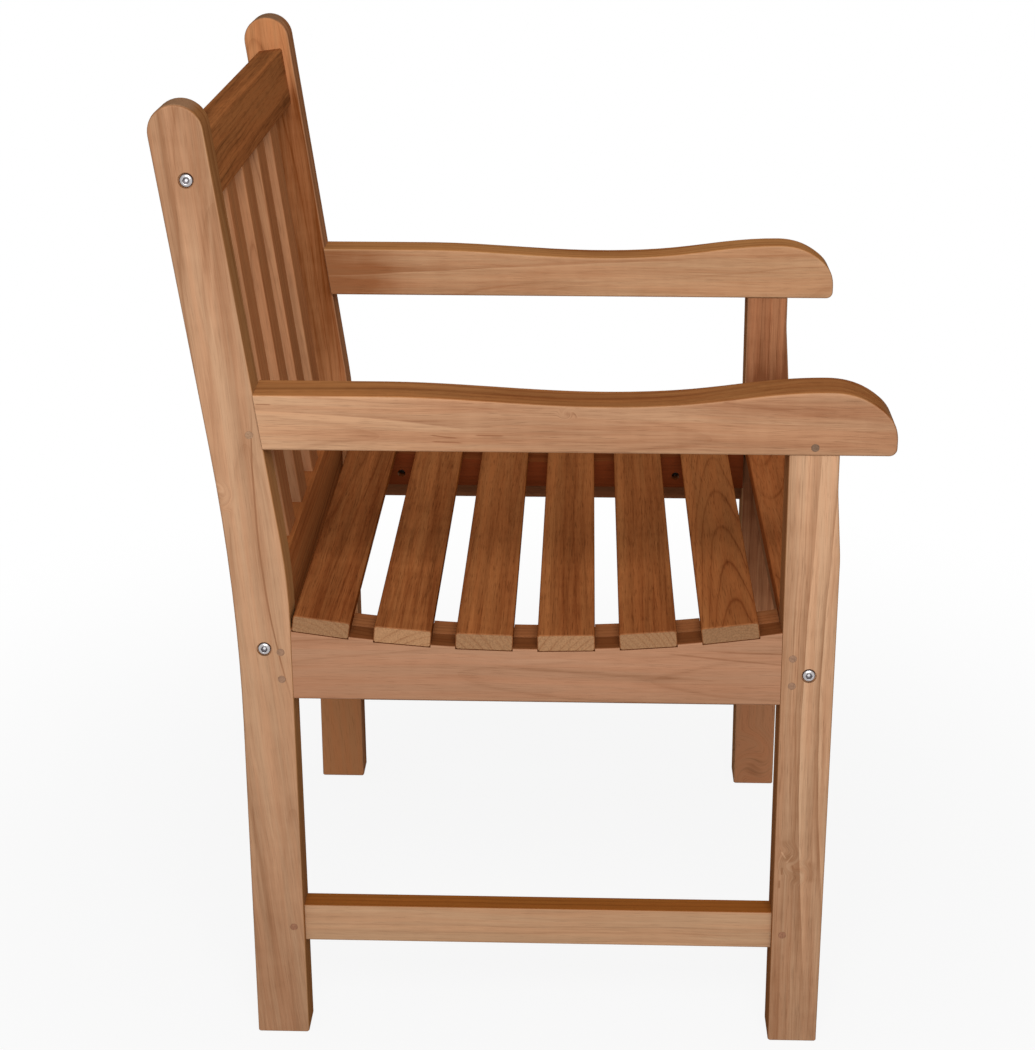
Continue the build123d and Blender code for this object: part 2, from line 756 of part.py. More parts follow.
batten_heads = facing_left(batten_inner_x + batten_screw_seat, batten_screws_yz)
save_screws(batten_heads, batten_screw_length, "batten_screws", True)
slat_heads = [facing_down(-batten_middle_x, y, z - screw_grip) for y, z in slat_feet]
save_screws(slat_heads, screw_length, "seat_slat_screws", True)
front_heads = [facing_down(x, front_rail_y, front_rail_top - screw_grip) for x in front_screw_xs]
save_screws(front_heads, screw_length, "front_slat_screws", False)
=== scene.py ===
import bmesh
import bpy
from math import asin, degrees, radians
from mathutils import Matrix, Vector


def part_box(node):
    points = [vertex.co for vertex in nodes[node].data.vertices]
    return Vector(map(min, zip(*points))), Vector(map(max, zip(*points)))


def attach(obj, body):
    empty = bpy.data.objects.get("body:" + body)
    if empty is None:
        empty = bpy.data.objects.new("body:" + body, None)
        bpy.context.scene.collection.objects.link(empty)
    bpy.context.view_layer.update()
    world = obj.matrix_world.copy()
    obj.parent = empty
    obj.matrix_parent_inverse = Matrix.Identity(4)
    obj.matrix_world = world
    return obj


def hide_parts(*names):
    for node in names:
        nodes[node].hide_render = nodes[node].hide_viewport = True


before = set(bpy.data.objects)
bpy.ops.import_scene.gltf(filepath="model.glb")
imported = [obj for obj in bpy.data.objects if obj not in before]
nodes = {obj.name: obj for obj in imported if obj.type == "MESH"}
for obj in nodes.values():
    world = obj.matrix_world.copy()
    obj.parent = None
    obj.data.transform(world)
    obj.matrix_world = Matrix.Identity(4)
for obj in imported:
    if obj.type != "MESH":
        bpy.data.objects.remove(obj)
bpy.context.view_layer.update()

# Rear legs and back posts: each leg is sawn from one teak board with its post, so the grain
# runs straight while the edge bends. The boards are planed, sanded and left without varnish.
UPRIGHT = ((0, 0, 1), (0, 1, 0), (-1, 0, 0))
FORE_AND_AFT = ((0, 1, 0), (0, 0, 1), (1, 0, 0))
ACROSS = ((1, 0, 0), (0, 1, 0), (0, 0, 1))
ON_EDGE = ((1, 0, 0), (0, 0, 1), (0, -1, 0))
MILLIMETRE = 0.001
BOARD_WIDE = (900, 900)
EARLY_WOOD_TONE = 0.28
KNOT_EYE_SHADE = 0.3
KNOT_EYE_SHARE = 0.4
BLUSH_SEED_STEP = 40
COOL_BLUSH = (0.985, 1.015, 1.03)
WARM_BLUSH = (1.02, 0.98, 0.96)
PORE_TINT = (0.42, 0.36, 0.32)
ARRIS_GLOW = 1.15
ROUGHNESS_PALE = 0.74
ROUGHNESS_DEEP = 0.86
BUMP_STRENGTH = 0.35
BUMP_HEIGHT = 0.0004


def wire(tree, kind, *inputs, **options):
    """Add a shader node, set its options, and link or set its inputs in order."""
    node = tree.nodes.new(kind)
    for option, value in options.items():
        setattr(node, option, value)
    for socket, value in zip(node.inputs, inputs):
        if isinstance(value, bpy.types.NodeSocket):
            tree.links.new(value, socket)
        elif value is not None:
            socket.default_value = value
    return node.outputs


def sums(tree, operation, *values):
    """One step of arithmetic on numbers."""
    return wire(tree, "ShaderNodeMath", *values, operation=operation)["Value"]


def vectors(tree, operation, *values):
    """One step of arithmetic on vectors."""
    return wire(tree, "ShaderNodeVectorMath", *values, operation=operation)[0]


def length_of(tree, vector):
    """Length of a vector."""
    return wire(tree, "ShaderNodeVectorMath", vector, operation="LENGTH")["Value"]


def between(tree, value, low, high, start=0.0, end=1.0):
    """Smooth step from start to end as a value goes from low to high."""
    return wire(
        tree, "ShaderNodeMapRange", value, low, high, start, end, interpolation_type="SMOOTHSTEP"
    )["Result"]


def mixed(tree, share, first, second, blend="MIX"):
    """Mix of two colours, or of two sockets that carry them."""
    node = tree.nodes.new("ShaderNodeMix")
    node.data_type = "RGBA"
    node.blend_type = blend
    for socket, value in zip((node.inputs[0], node.inputs[6], node.inputs[7]), (share, first, second)):
        if isinstance(value, bpy.types.NodeSocket):
            tree.links.new(value, socket)
        else:
            socket.default_value = value if isinstance(value, float) else (*value, 1.0)
    return node.outputs[2]


def ramp(tree, value, *stops):
    """Grey curve through stops given as (place, level)."""
    node = tree.nodes.new("ShaderNodeValToRGB")
    node.color_ramp.interpolation = "EASE"
    elements = node.color_ramp.elements
    while len(elements) < len(stops):
        elements.new(1.0)
    for element, (place, level) in zip(elements, stops):
        element.position = place
        element.color = (level, level, level, 1.0)
    tree.links.new(value, node.inputs[0])
    return node.outputs["Color"]


def grained(tree, place, seed, along, across, detail):
    """Noise drawn out along the grain, with its spread in waves per millimetre."""
    scale = 1.0
    roughness = 0.55
    spread = vectors(tree, "MULTIPLY", place, (along, across, across))
    shifted = vectors(tree, "ADD", spread, (seed * 7.31, seed * 3.17, seed * 5.73))
    return wire(tree, "ShaderNodeTexNoise", shifted, None, scale, detail, roughness)


def vein(tree, fibre, tone, along, across, length, sides, slope, bow, depth):
    """Darken, or with a negative depth lighten, the tone beside one growth line.

    along and across place the line's middle. sides are how far the shade spreads to the line's
    low and high side, slope is its drift across the board and bow its sag in millimetres a
    hundred millimetres from its middle. The shade fades over the last fifth at each end.
    """
    offset = wire(tree, "ShaderNodeSeparateXYZ", vectors(tree, "SUBTRACT", fibre, (along, across, 0)))
    drift = sums(tree, "MULTIPLY_ADD", offset["X"], -slope, offset["Y"])
    square = sums(tree, "MULTIPLY", offset["X"], offset["X"])
    drift = sums(tree, "MULTIPLY_ADD", square, bow / 100**2, drift)
    low_side = sums(tree, "DIVIDE", drift, -sides[0])
    high_side = sums(tree, "DIVIDE", drift, sides[1])
    shade = between(tree, sums(tree, "MAXIMUM", low_side, high_side), 0.0, 1.0, depth, 0.0)
    run = sums(tree, "ABSOLUTE", offset["X"])
    inside = between(tree, run, length * 0.3, length * 0.5, 1.0, 0.0)
    return sums(tree, "MULTIPLY_ADD", shade, inside, tone)


def teak(
    node, lie, pale, deep, heart, lean=(0.0, 0.0), ring=7.0, figure=0.5, mottle=0.5, pores=0.3, tilt=0.0,
    seed=0, ends=(0.30, 0.16, 0.085), edges=(0.85, 0.70, 0.50), inside=(0.9, 0.8, 0.68),
    fade=(0.0, 0.0, 0.0), wander=10.0, knots=(), veins=(), shades=(),
):
    """Sawn teak in millimetres along, across and through a board.

    heart is where the log's heart lies across and through the board, and lean is how far the
    board was sawn off the log's line, in degrees, which draws the rings out into arches. ring is
    their width, and figure, mottle and pores are how strongly rings, streaks and pores show.
    ends is the colour of the saw-cut ends, edges is painted shade that tints the faces that are not the
    board's flat sides, and inside is painted shade on the flat side that looks into the chair. fade
    darkens the start, middle and far end of its length, and wander is how far the fibres stray. knots
    are (along, across, size, swirl), veins are growth lines as vein takes them, and shades are (along,
    length, depth): broad painted shade on the inside alone, painted light where the depth is negative.
    """
    material = bpy.data.materials.new(f"teak_{node}")
    material.use_nodes = True
    tree = material.node_tree
    shader = tree.nodes["Principled BSDF"]
    low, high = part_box(node)
    middle = (low + high) / 2
    turn = (Matrix.Rotation(radians(tilt), 3, "X") @ Matrix(lie).transposed()).to_euler()
    place = wire(tree, "ShaderNodeTexCoord")
    board = wire(
        tree, "ShaderNodeMapping", place["Object"], middle, turn, (MILLIMETRE,) * 3, vector_type="TEXTURE"
    )[0]
    facing = wire(tree, "ShaderNodeMapping", place["Normal"], (0, 0, 0), turn, vector_type="TEXTURE")[0]

    # The fibres wander a few millimetres along the board and bend round its knots
    sway = grained(tree, board, seed, along=0.004, across=0.012, detail=2.0)["Color"]
    sway = vectors(tree, "SUBTRACT", sway, (0.5, 0.5, 0.5))
    fibre = vectors(tree, "ADD", board, vectors(tree, "MULTIPLY", sway, (0.0, wander, wander)))
    straight = fibre
    knot_shade = 0.0
    for along, across, size, swirl in knots:
        eye = (along, across, 0)
        offset = vectors(tree, "MULTIPLY", vectors(tree, "SUBTRACT", fibre, eye), (0.8, 1.0, 0.0))
        reach = length_of(tree, offset)
        bend = between(tree, reach, 0.0, size, start=swirl, end=0.0)
        fibre = wire(tree, "ShaderNodeVectorRotate", fibre, eye, (0, 0, 1), bend)[0]
        eye_shade = between(tree, reach, 0.0, KNOT_EYE_SHARE * size, start=KNOT_EYE_SHADE, end=0.0)
        knot_shade = sums(tree, "ADD", knot_shade, eye_shade)
    log = wire(
        tree, "ShaderNodeMapping", fibre, (0, -heart[0], -heart[1]),
        (0, radians(lean[1]), radians(lean[0])), vector_type="POINT",
    )[0]
    radius = length_of(tree, vectors(tree, "MULTIPLY", log, (0, 1, 1)))

    # Growth rings of uneven width: a dark late edge that fades into the next ring
    growth = wire(
        tree, "ShaderNodeTexNoise", None, sums(tree, "MULTIPLY", radius, 0.06), 1.0, 1.0,
        noise_dimensions="1D",
    )["Fac"]
    count = sums(tree, "MULTIPLY_ADD", growth, 2.2, sums(tree, "DIVIDE", radius, ring))
    year = sums(tree, "FRACT", count)
    late = ramp(tree, year, (0.0, 0.6), (0.1, 0.15), (0.5, 0.0), (0.86, 0.25), (1.0, 1.0))
    patch = grained(tree, fibre, seed, along=0.003, across=0.03, detail=1.0)["Fac"]
    late = sums(tree, "MULTIPLY", late, between(tree, patch, 0.3, 0.7, start=0.45, end=1.0))

    # Tone along the fibres, from broad bands to fine streaks and pores
    broad = grained(tree, fibre, seed, along=0.0022, across=0.06, detail=2.0)["Fac"]
    streak = grained(tree, fibre, seed, along=0.008, across=0.35, detail=3.0)["Fac"]
    thread = grained(tree, fibre, seed, along=0.02, across=0.9, detail=2.0)["Fac"]
    ripple = grained(tree, fibre, seed, along=0.06, across=0.03, detail=2.0)["Fac"]
    pore = grained(tree, fibre, seed, along=0.045, across=1.2, detail=1.0)["Fac"]
    pore = between(tree, pore, 0.55, 0.75)
    normal = wire(tree, "ShaderNodeSeparateXYZ", vectors(tree, "ABSOLUTE", facing))
    off_side = between(tree, normal["Z"], 0.55, 0.9, start=1.0, end=0.0)
    tone = sums(tree, "MULTIPLY_ADD", late, figure, EARLY_WOOD_TONE)
    cut_across = sums(tree, "MULTIPLY", sums(tree, "SUBTRACT", late, 0.25), off_side)
    tone = sums(tree, "MULTIPLY_ADD", cut_across, figure, tone)
    inward = (middle.x < 0) - (middle.x > 0) if lie[0] != ACROSS[0] else 0
    across_chair = wire(tree, "ShaderNodeSeparateXYZ", place["Normal"])["X"]
    looks_in = between(tree, sums(tree, "MULTIPLY", across_chair, inward), 0.55, 0.9)
    half = max(high - low) / 2 / MILLIMETRE
    run = wire(tree, "ShaderNodeSeparateXYZ", fibre)["X"]
    start, centre, far_end = fade
    tone = sums(tree, "ADD", tone, between(tree, run, -half, 0.0, start, centre))
    tone = sums(tree, "ADD", tone, between(tree, run, 0.0, half, 0.0, far_end - centre))
    # Broad painted shade on the side that looks into the chair, and painted light where a depth is negative
    for along, length, depth in shades:
        shade = vein(tree, straight, 0.0, along, 0, length, BOARD_WIDE, 0.0, 0.0, depth)
        tone = sums(tree, "MULTIPLY_ADD", shade, looks_in, tone)
    for grain, share in ((broad, 2.0), (streak, 1.2), (thread, 1.0), (ripple, 0.5)):
        tone = sums(tree, "MULTIPLY_ADD", sums(tree, "SUBTRACT", grain, 0.5), mottle * share, tone)
    tone = sums(tree, "ADD", tone, knot_shade)
    for growth_line in veins:
        tone = vein(tree, straight, tone, *growth_line)
    tone = wire(tree, "ShaderNodeClamp", tone)[0]
    colour = mixed(tree, tone, pale, deep)
    blush = grained(tree, fibre, seed + BLUSH_SEED_STEP, along=0.005, across=0.11, detail=3.0)["Fac"]
    blush = mixed(tree, between(tree, blush, 0.35, 0.65), COOL_BLUSH, WARM_BLUSH)
    colour = mixed(tree, 1.0, colour, blush, "MULTIPLY")
    colour = mixed(tree, sums(tree, "MULTIPLY", pore, pores), colour, PORE_TINT, "MULTIPLY")

    # Outer sides keep the plain colour; edges and inner sides are darkened with painted shade, and saw-cut
    # ends are speckled
    colour = mixed(tree, off_side, colour, edges, "MULTIPLY")
    colour = mixed(tree, looks_in, colour, inside, "MULTIPLY")
    speckle = grained(tree, board, seed, along=0.1, across=0.7, detail=3.0)["Fac"]
    speckle = between(tree, speckle, 0.3, 0.75, start=1.1, end=0.8)
    speckles = wire(tree, "ShaderNodeCombineColor", speckle, speckle, speckle)[0]
    end_grain = mixed(tree, sums(tree, "MULTIPLY", late, 0.5), ends, deep)
    end_grain = mixed(tree, 1.0, end_grain, speckles, "MULTIPLY")
    colour = mixed(tree, between(tree, normal["X"], 0.6, 0.9), colour, end_grain)
    # Rounded arrises along the board get a painted highlight, a little paler than the pale tone
    flattest = sums(tree, "MAXIMUM", normal["X"], sums(tree, "MAXIMUM", normal["Y"], normal["Z"]))
    arris_highlight = between(tree, flattest, 0.74, 0.95, start=0.3, end=0.0)
    arris_highlight = sums(tree, "MULTIPLY", arris_highlight, between(tree, normal["X"], 0.2, 0.5, start=1.0, end=0.0))
    colour = mixed(tree, arris_highlight, colour, tuple(min(1.0, ARRIS_GLOW * c) for c in pale))
    tree.links.new(colour, shader.inputs["Base Color"])

    # Oiled but dry wood has no gloss, and its pores and late wood lie a little low
    rough = between(tree, tone, 0.0, 1.0, ROUGHNESS_PALE, ROUGHNESS_DEEP)
    tree.links.new(rough, shader.inputs["Roughness"])
    shader.inputs["Specular IOR Level"].default_value = 0.0
    relief = sums(tree, "MULTIPLY_ADD", pore, -1.0, sums(tree, "MULTIPLY", streak, 0.6))
    relief = sums(tree, "MULTIPLY_ADD", late, -0.35, relief)
    bump = wire(tree, "ShaderNodeBump", BUMP_STRENGTH, BUMP_HEIGHT, None, relief)[0]
    tree.links.new(bump, shader.inputs["Normal"])
    nodes[node].data.materials.clear()
    nodes[node].data.materials.append(material)


teak(
    "rear_leg_right", UPRIGHT, (0.55, 0.315, 0.182), (0.31, 0.15, 0.076), (-30, 70), lean=(0.6, 2.2),
    ring=11, figure=0.3, mottle=0.5, pores=0.15, tilt=-5.0, seed=1, edges=(0.74, 0.595, 0.38),
    fade=(0.3, -0.1, 0.4), knots=((104, -2, 14, 2.4),),
    veins=(
        (45, -31, 300, (0.9, 1.4), 0.0, 4.8, 0.8), (400, 1, 260, (4, 7), 0.0, 0.0, 0.35),
        (313, -23, 160, (3, 3), -0.11, 0.0, -0.25), (-240, 10, 260, (3, 3), 0.01, 0.0, 0.3),
        (210, -10, 360, (18, 18), 0.0, 0.0, -0.3),
    ),
)
# The left leg is darker than the right, partly board tone and partly painted shade; its inside carries
# painted shade on the upper post and painted light on the lower leg and at the post's top
teak(
    "rear_leg_left", UPRIGHT, (0.58, 0.30, 0.16), (0.205, 0.068, 0.020), (10, 60), lean=(0.5, 3.0),
    ring=9, figure=0.35, mottle=0.45, tilt=-5.0, seed=2, edges=(0.8, 0.7, 0.6), inside=(1.0, 0.83, 0.65),
    shades=((-450, 1000, -0.66), (300, 560, 0.5), (452, 190, -0.75)),
)

# Side rails and low stretchers: planed boards between the legs, tenoned into both. The rail's
# top edge is dished for the seat, and its figure lies in long flat arches.
# Both rails' top edges are darkened with painted shade from the seat slats, and the left rail's inner face
# with painted shade under the seat
teak(
    "side_rail_right", FORE_AND_AFT, (0.46, 0.24, 0.139), (0.27, 0.12, 0.06), (-14, 48), lean=(0.3, 1.8),
    ring=8, figure=0.35, mottle=0.38, pores=0.2, seed=3, edges=(0.42, 0.26, 0.14),
    veins=(
        (-178, 8, 140, (1.4, 1.4), 0.1, 0.0, 0.45), (-200, 15, 80, (1.3, 1.3), 0.02, 0.0, 0.45),
        (-60, -6, 190, (3, 3), 0.05, 0.0, 0.3),
    ),
)
teak(
    "side_rail_left", FORE_AND_AFT, (0.47, 0.25, 0.145), (0.27, 0.12, 0.06), (10, 50), lean=(0.4, 2.6),
    ring=8, figure=0.4, mottle=0.5, seed=4, edges=(0.42, 0.26, 0.14), inside=(0.6, 0.44, 0.32),
)
teak(
    "side_stretcher_right", FORE_AND_AFT, (0.56, 0.325, 0.185), (0.36, 0.19, 0.1), (60, 60),
    lean=(0.8, 0.6), ring=7, figure=0.45, mottle=0.5, pores=0.15, seed=5, edges=(0.58, 0.33, 0.115),
)
teak(
    "side_stretcher_left", FORE_AND_AFT, (0.56, 0.325, 0.185), (0.33, 0.16, 0.075), (55, 60),
    lean=(0.6, 1.0), ring=7, figure=0.4, mottle=0.5, seed=6, inside=(0.8, 0.7, 0.63),
)

# Front legs: square teak legs with straight grain, tenoned up into the arms and shaped a
# little on the front edge. The right one has a small pin knot low down.
teak(
    "front_leg_right", UPRIGHT, (0.58, 0.34, 0.20), (0.32, 0.155, 0.078), (-95, 25), lean=(0.5, 0.8),
    ring=10, figure=0.25, mottle=0.55, pores=0.3, tilt=-0.57, seed=7, edges=(0.75, 0.57, 0.38),
    fade=(0.35, 0.05, -0.1), knots=((-112, 9, 15, 1.2), (-124, -1, 14, -1.1)),
    veins=(
        (40, 3.2, 640, (0.4, 14), 0.0, 1.5, 0.45), (40, 3.2, 640, (7, 0.3), 0.0, 1.5, -0.3),
        (60, -13.4, 560, (0.4, 6), 0.0, 1.9, 0.5), (60, -13.4, 560, (5, 0.3), 0.0, 1.9, -0.25),
        (150, 14, 500, (1.0, 1.4), -0.01, 1.5, 0.3), (150, 9, 400, (0.8, 1.0), -0.01, 1.5, 0.3),
        (0, 26, 1400, (16, 10), 0.0, 0.0, 0.3),
        (-126, 4, 16, (1.6, 1.6), 0.3, 0.0, 0.65), (-125, 16, 9, (1.5, 1.5), 0.0, 0.0, 0.6),
        (-139, 18, 10, (1.5, 1.5), 0.0, 0.0, 0.5), (-108, 15, 9, (1.4, 1.4), 0.6, 0.0, -0.5),
        (-112, 9, 10, (1.4, 1.4), -0.7, 0.0, -0.55), (-126, -11, 26, (8, 8), 0.0, 0.0, 0.25),
        (-103, 14, 26, (8, 8), 0.0, 0.0, 0.25),
    ),
)
# The left leg's deep tone is darker, partly board tone and partly painted shade; its inside carries painted
# shade from the seat upward and painted light low down
teak(
    "front_leg_left", UPRIGHT, (0.57, 0.33, 0.195), (0.21, 0.095, 0.047), (-60, 50), lean=(0.5, 1.4),
    ring=9, figure=0.4, mottle=0.5, tilt=-0.57, seed=8, inside=(0.97, 0.74, 0.60),
    knots=((-290, 0, 45, 2.2),),
    shades=((-310, 600, -0.42), (60, 400, 0.4), (110, 220, 0.3), (300, 280, 0.15)),
)

# Arms: sawn to shape from a straight board, so the grain runs level while the top dips and
# rises. They sit over the front legs and are tenoned into the back posts.
teak(
    "arm_right", FORE_AND_AFT, (0.55, 0.31, 0.175), (0.29, 0.13, 0.065), (-14, 46), lean=(0.3, -1.6),
    ring=9, figure=0.3, mottle=0.5, pores=0.3, seed=9, edges=(0.70, 0.51, 0.30), fade=(0.3, 0.28, -0.35),
    knots=((-3, 5, 8, 2.0),),
    veins=(
        (200, 2.2, 260, (0.8, 12), 0.055, 3.3, 0.3), (200, 2.2, 260, (10, 0.5), 0.055, 3.3, -0.25),
        (105, -15, 26, (0.8, 0.8), 0.1, 0.0, 0.7), (102, -20, 30, (0.8, 0.8), 0.05, 0.0, 0.6),
        (65, -14, 28, (0.9, 0.9), 0.02, 0.0, 0.7), (262, 11, 16, (0.9, 0.9), 0.0, 0.0, 0.8),
    ),
)
# The left arm's inside is darkened towards its rear end with painted shade
teak(
    "arm_left", FORE_AND_AFT, (0.61, 0.345, 0.187), (0.34, 0.137, 0.056), (-30, 46), lean=(0.6, 1.3),
    ring=9, figure=0.35, mottle=0.5, pores=0.2, seed=10, edges=(0.84, 0.66, 0.42), inside=(1.0, 1.0, 1.0),
    fade=(-0.1, -0.12, -0.1), shades=((330, 330, 0.6), (360, 520, 0.12)),
    veins=((129, 0.6, 500, (0.6, 14), -0.052, 0.0, 0.3), (129, 0.6, 500, (3, 0.5), -0.052, 0.0, -0.25)),
)

# Seat battens: short boards screwed to the inside of the side rails. They follow the rails'
# dished edge, and the screws that hold the seat slats go up through them.
# Both battens are coloured darker than the rails as painted shade under the slats, the left one darkest
teak(
    "seat_batten_right", FORE_AND_AFT, (0.34, 0.13, 0.052), (0.2, 0.07, 0.025), (20, 60), ring=8, seed=11,
    edges=(1.0, 0.95, 0.85), inside=(0.8, 0.7, 0.6),
)
teak(
    "seat_batten_left", FORE_AND_AFT, (0.27, 0.085, 0.032), (0.14, 0.038, 0.013), (26, 60), ring=8, seed=12,
    inside=(0.7, 0.47, 0.36),
)

# Back panel: a raked top rail, four flat slats and an upright lower rail. The slats are
# housed in both rails, and the rails are bolted between the back posts.
teak(
    "top_back_rail", ACROSS, (0.39, 0.138, 0.043), (0.14, 0.045, 0.014), (5, 60), lean=(0.6, 1.5),
    ring=6, figure=0.3, mottle=0.9, pores=0.35, tilt=-7.83, seed=13, edges=(1.0, 1.0, 1.0),
    veins=((0, -36, 1200, (4, 9), 0.0, 0.0, -0.3),),
)
teak(
    "lower_back_rail", ACROSS, (0.45, 0.15, 0.045), (0.24, 0.075, 0.02), (8, 60), lean=(0.5, 1.5),
    ring=7, figure=0.45, mottle=0.6, seed=14, edges=(1.0, 1.0, 1.0),
)
BACK_SLATS = 4
BACK_SLAT_SEED = 14
for number in range(1, BACK_SLATS + 1):
    teak(
        f"back_slat_{number}", UPRIGHT, (0.55, 0.265, 0.13), (0.29, 0.115, 0.05), (12 * number - 30, 40),
        lean=(0.5, 2.0), ring=7, figure=0.4, mottle=0.5, tilt=-8.6, seed=BACK_SLAT_SEED + number,
        edges=(0.80, 0.66, 0.51), inside=(1.0, 1.0, 1.0),
    )

# Seat: six slats lie across the dished rails as chords of one large arc, and a seventh closes
# the front between the legs on its own rail. All are screwed from below.
SEAT_PALE = (0.40, 0.142, 0.044)
SEAT_DEEP = (0.19, 0.053, 0.0145)
SEAT_END = (0.36, 0.19, 0.094)
SEAT_FADE = (0.3, 0.05, -0.1)
SEAT_ARC = 1.382
SEAT_SEED = 20
seat_grain = (
    dict(heart=(30, -70), lean=(0.3, 0.8), ring=4.5, figure=0.45, mottle=0.7),
    dict(heart=(-40, -60), lean=(0.4, 1.0), ring=7.0, figure=0.30, mottle=0.9),
    dict(heart=(60, -50), lean=(0.3, 0.6), ring=6.0, figure=0.35, mottle=0.6),
    dict(heart=(-55, -50), lean=(0.2, 0.6), ring=6.0, figure=0.35, mottle=0.6),
    dict(heart=(70, -50), lean=(0.2, 0.7), ring=5.0, figure=0.40, mottle=0.6),
    dict(heart=(-8, -45), lean=(0.0, -1.7), ring=2.6, figure=0.7, mottle=0.3),
)
seat_veins = (
    ((0, 10, 1200, (8, 8), 0.0, 0.0, 0.15),),
    (),
    ((0, 13, 1200, (7, 9), 0.0, 0.0, -0.35),),
    ((0, 0, 1200, (12, 9), 0.0, 0.0, 0.25), (0, 17, 1200, (5, 7), 0.0, 0.0, -0.3)),
    ((0, 21, 1200, (9, 6), 0.0, 0.0, -0.35),),
    ((0, 22, 1200, (8, 5), 0.0, 0.0, -0.25),),
)
seat_shades = (0.14, 0.08, 0.0, -0.04, 0.08, -0.12)
seat_end_lights = (0.88, 1.16, 0.94, 1.04, 0.93, 0.78)
slats = zip(seat_grain, seat_veins, seat_shades, seat_end_lights)
for number, (grain, veins, shade, end_light) in enumerate(slats, 1):
    low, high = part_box(f"seat_slat_{number}")
    tilt = degrees(asin((low.y + high.y) / 2 / SEAT_ARC))
    teak(
        f"seat_slat_{number}", ACROSS, SEAT_PALE, SEAT_DEEP, **grain, pores=0.65, tilt=tilt,
        seed=SEAT_SEED + number, ends=tuple(end_light * c for c in SEAT_END),
        fade=tuple(shade + part for part in SEAT_FADE), wander=5.0, veins=veins,
    )
teak(
    "front_seat_slat", ACROSS, (0.46, 0.152, 0.047), (0.21, 0.055, 0.014), (10, -42), lean=(0.6, 3.0),
    ring=6, figure=0.5, mottle=0.6, pores=0.6, seed=27, edges=(0.85, 0.75, 0.65),
)
teak(
    "front_rail", ON_EDGE, (0.43, 0.20, 0.095), (0.25, 0.095, 0.04), (10, 60), lean=(0.4, 1.6), ring=8,
    figure=0.4, mottle=0.5, pores=0.3, seed=28,
)

# Wooden pins and dowels: turned hardwood rods. The pins are driven through the tenons from
# outside and cut off flush, so that their end grain shows as dark rounds.
pin_ends = {
    "side_rail_pins": (0.33, 0.19, 0.12), "stretcher_pins": (0.34, 0.16, 0.093),
    "arm_front_pins": (0.20, 0.125, 0.082), "arm_rear_pins": (0.38, 0.225, 0.135),
    "locating_dowels": (0.30, 0.17, 0.105),
}
PIN_SEED = 30
for number, (node, ends) in enumerate(pin_ends.items()):
    teak(
        node, ACROSS, (0.30, 0.16, 0.09), (0.16, 0.08, 0.045), (0, 3), ring=3, figure=0.3,
        seed=PIN_SEED + number, ends=ends,
    )

# Frame bolts: stainless furniture bolts with a low domed head and a hex socket. Each goes
# through a leg into a barrel nut in the rail behind it, its head sunk in a shallow recess.
bolt_depth_and_height = ((288.61, 836.5), (240.67, 407.8), (-253.31, 388.2))
bolt_face = 288.0
bolt_sides = 24
socket_width = 5.6
socket_corner = socket_width / 3**0.5
socket_steps = 2
DOME, SOCKET, DRILL_POINT = range(3)

# Rings of (sides, radius, rise above the leg's face), from the drill point in the socket up
# over the head and down the shank
bolt_rings = (
    (6, 1.4, -2.0), (6, socket_corner, -1.6), (6, socket_corner, 0.5), (24, 3.4, 0.7), (24, 4.1, 0.5),
    (24, 4.8, 0.15), (24, 5.4, -0.3), (24, 5.8, -1.0), (24, 5.9, -1.6), (24, 5.9, -2.4), (24, 3.0, -2.4),
    (24, 3.0, -81.6), (24, 2.4, -82.4),
)


def steel(name, colour, roughness, grain):
    """Drawn stainless steel: fine scratches in its gloss and a slight cloud in its colour."""
    material = bpy.data.materials.new(name)
    material.use_nodes = True
    tree = material.node_tree
    shader = tree.nodes["Principled BSDF"]
    place = wire(tree, "ShaderNodeTexCoord")["Object"]
    cloud = wire(tree, "ShaderNodeTexNoise", place, None, grain, 3.0)["Fac"]
    shade = mixed(tree, between(tree, cloud, 0.3, 0.7), colour, tuple(0.7 * c for c in colour))
    tree.links.new(shade, shader.inputs["Base Color"])
    gloss = between(tree, cloud, 0.25, 0.75, roughness, roughness + 0.15)
    tree.links.new(gloss, shader.inputs["Roughness"])
    shader.inputs["Metallic"].default_value = 1.0
    return material


bolts = bmesh.new()
for depth, height in bolt_depth_and_height:
    for side in (-1, 1):
        loops = []
        for sides, radius, rise in bolt_rings:
            corners = bmesh.ops.create_circle(bolts, segments=sides, radius=radius)["verts"]
            bmesh.ops.translate(bolts, verts=corners, vec=(0, 0, rise))
            edges = list({edge for corner in corners for edge in corner.link_edges})
            if sides < bolt_sides:
                cut = bmesh.ops.subdivide_edges(bolts, edges=edges, cuts=bolt_sides // sides - 1)
                edges = [part for part in cut["geom"] if isinstance(part, bmesh.types.BMEdge)]
            loops.append(edges)
        for number, (inner, outer) in enumerate(zip(loops, loops[1:])):
            for face in bmesh.ops.bridge_loops(bolts, edges=inner + outer)["faces"]:
                face.material_index = SOCKET if number < socket_steps else DOME
        drill_point = bmesh.ops.contextual_create(bolts, geom=loops[0])["faces"]
        drill_point[0].material_index = DRILL_POINT
        bmesh.ops.contextual_create(bolts, geom=loops[-1])
        new = list({corner for loop in loops for edge in loop for corner in edge.verts})
        outward = Matrix.Rotation(radians(90 * side), 4, "Y")
        seat = Matrix.Translation((side * bolt_face, depth, height))
        bmesh.ops.transform(bolts, verts=new, matrix=seat @ outward)
bmesh.ops.scale(bolts, verts=bolts.verts, vec=(MILLIMETRE,) * 3)
bmesh.ops.recalc_face_normals(bolts, faces=bolts.faces)
bolt_mesh = bpy.data.meshes.new("domed_bolts")
bolts.to_mesh(bolt_mesh)
bolts.free()
domed_bolts = bpy.data.objects.new("domed_bolts", bolt_mesh)
bpy.context.scene.collection.objects.link(domed_bolts)
bolt_mesh.shade_smooth()
